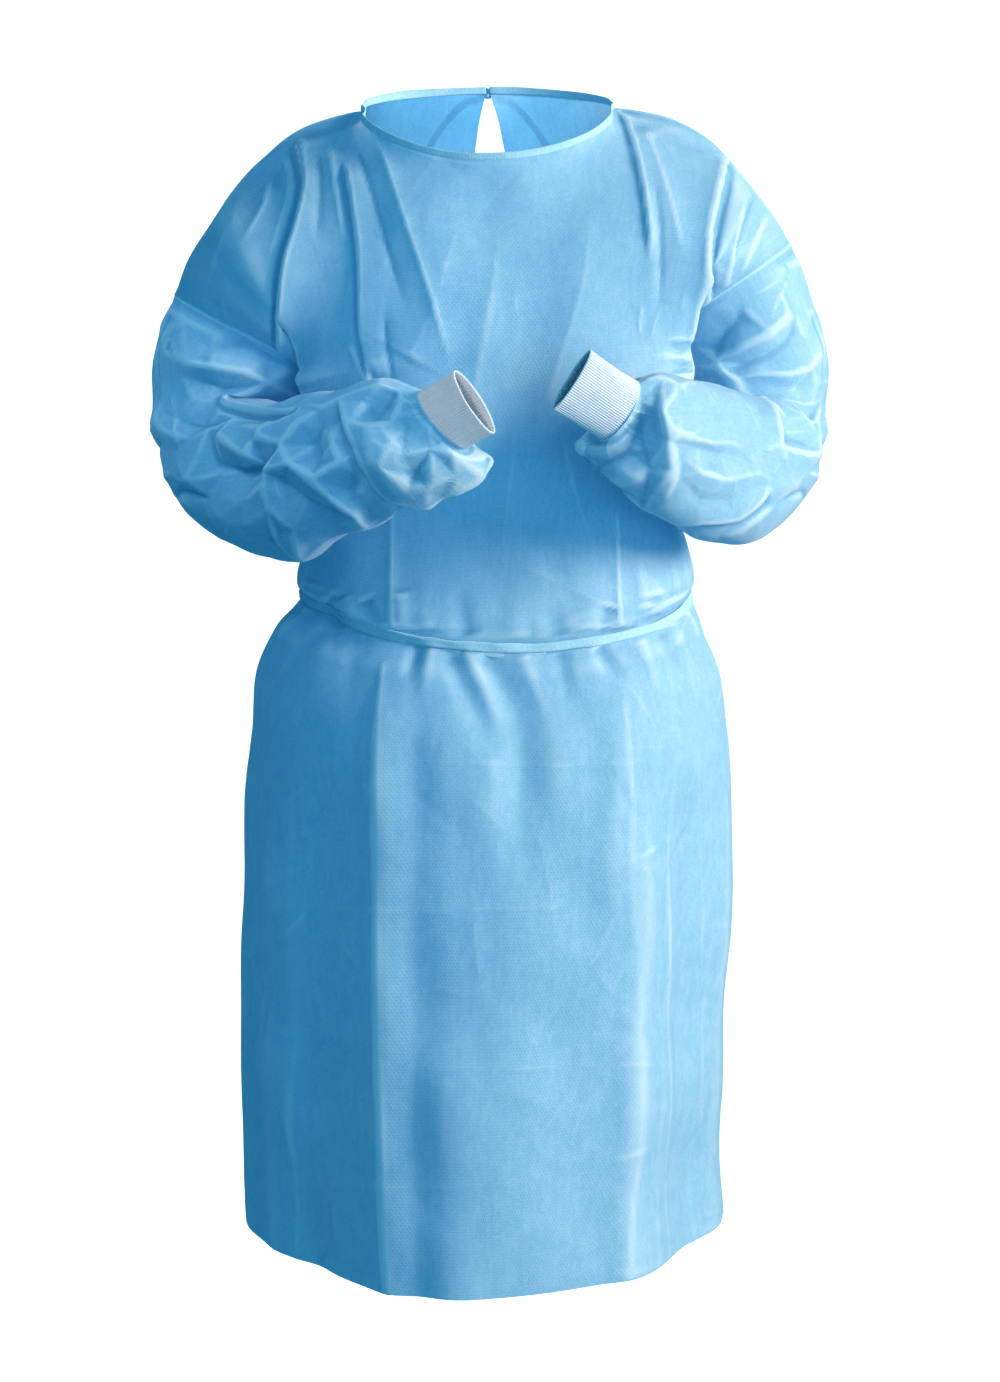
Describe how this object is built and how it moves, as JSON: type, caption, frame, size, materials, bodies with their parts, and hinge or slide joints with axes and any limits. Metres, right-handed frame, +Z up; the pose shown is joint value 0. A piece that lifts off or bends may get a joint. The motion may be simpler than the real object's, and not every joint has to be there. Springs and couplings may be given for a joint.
{
  "type": "isolation gown",
  "caption": "Thin nonwoven isolation gown in its worn shape: wide neck, bent sleeves with knit cuffs, a tied back opening and a narrow tied waist belt.",
  "frame": {"origin": "midway between the two shoulder neck points, at the neck edge, where the wearer's shoulders carry the gown", "axes": "+Z up along the gown, -Y out of its front, +X to the wearer's left"},
  "size_m": [0.6707, 0.4884, 1.1534],
  "materials": {
    "nonwoven_blue": "matt light-blue spunbond nonwoven, slightly translucent",
    "binding_blue": "folded strip of lighter blue nonwoven, matt",
    "knit_white": "white rib knit, matt"
  },
  "bodies": {
    "root": {"front_panel": "nonwoven_blue", "back_panel_left": "nonwoven_blue", "back_panel_right": "nonwoven_blue", "sleeve_left": "nonwoven_blue", "sleeve_right": "nonwoven_blue", "cuff_left": "knit_white", "cuff_right": "knit_white", "neck_binding": "binding_blue", "neck_knot": "binding_blue", "neck_tie_left": "binding_blue", "neck_tie_right": "binding_blue", "waist_belt": "binding_blue", "belt_knot": "binding_blue", "belt_tie_left": "binding_blue", "belt_tie_right": "binding_blue"}
  },
  "joints": []
}
